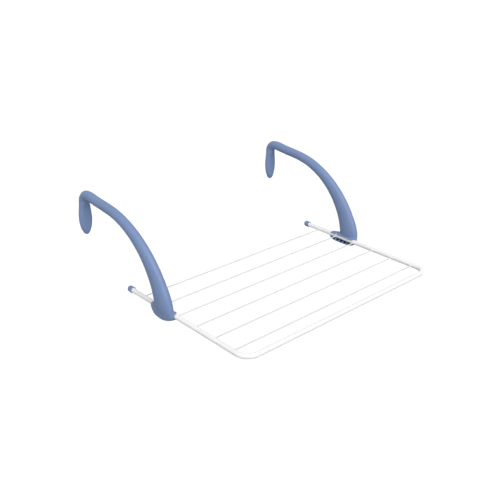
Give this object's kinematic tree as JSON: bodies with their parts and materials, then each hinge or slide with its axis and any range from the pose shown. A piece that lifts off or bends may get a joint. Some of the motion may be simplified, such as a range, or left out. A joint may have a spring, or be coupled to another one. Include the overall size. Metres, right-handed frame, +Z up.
{
  "type": "hook-over folding drying rack",
  "caption": "Clothes-drying rack: a bent tube frame with straight drying wires, hung over a rail by curved plastic arms with hooked ends that fold down flat over the wires.",
  "frame": {"origin": "rail seat: midway between the two hooks, in the plane of the tongues' flat inner faces, at the height of the arms' undersides beside the tongues", "axes": "+X to the right of a person who faces the wall or rail, +Y towards the wall, +Z up"},
  "size_m": [0.655, 0.5963, 0.2254],
  "materials": {
    "frame_coat": "smooth white powder coat",
    "wire_coat": "smooth white powder coat",
    "arm_plastic": "fine satin moulded polypropylene",
    "cap_plastic": "fine satin moulded polypropylene"
  },
  "bodies": {
    "frame": {"frame_tube": "frame_coat", "wire_1": "wire_coat", "wire_2": "wire_coat", "wire_3": "wire_coat", "wire_4": "wire_coat", "wire_5": "wire_coat", "wire_6": "wire_coat", "end_cap_left": "cap_plastic", "end_cap_right": "cap_plastic"},
    "left_arm": {"left_arm": "arm_plastic"},
    "right_arm": {"right_arm": "arm_plastic"}
  },
  "joints": [
    {"name": "left_arm_fold", "type": "hinge", "parent": "frame", "child": "left_arm", "pos_m": [-0.3, -0.2945, -0.1845], "axis": [0, 1, 0], "range_deg": [0, 85]},
    {"name": "right_arm_fold", "type": "hinge", "parent": "frame", "child": "right_arm", "pos_m": [0.3, -0.2945, -0.1845], "axis": [0, -1, 0], "range_deg": [0, 85]}
  ]
}
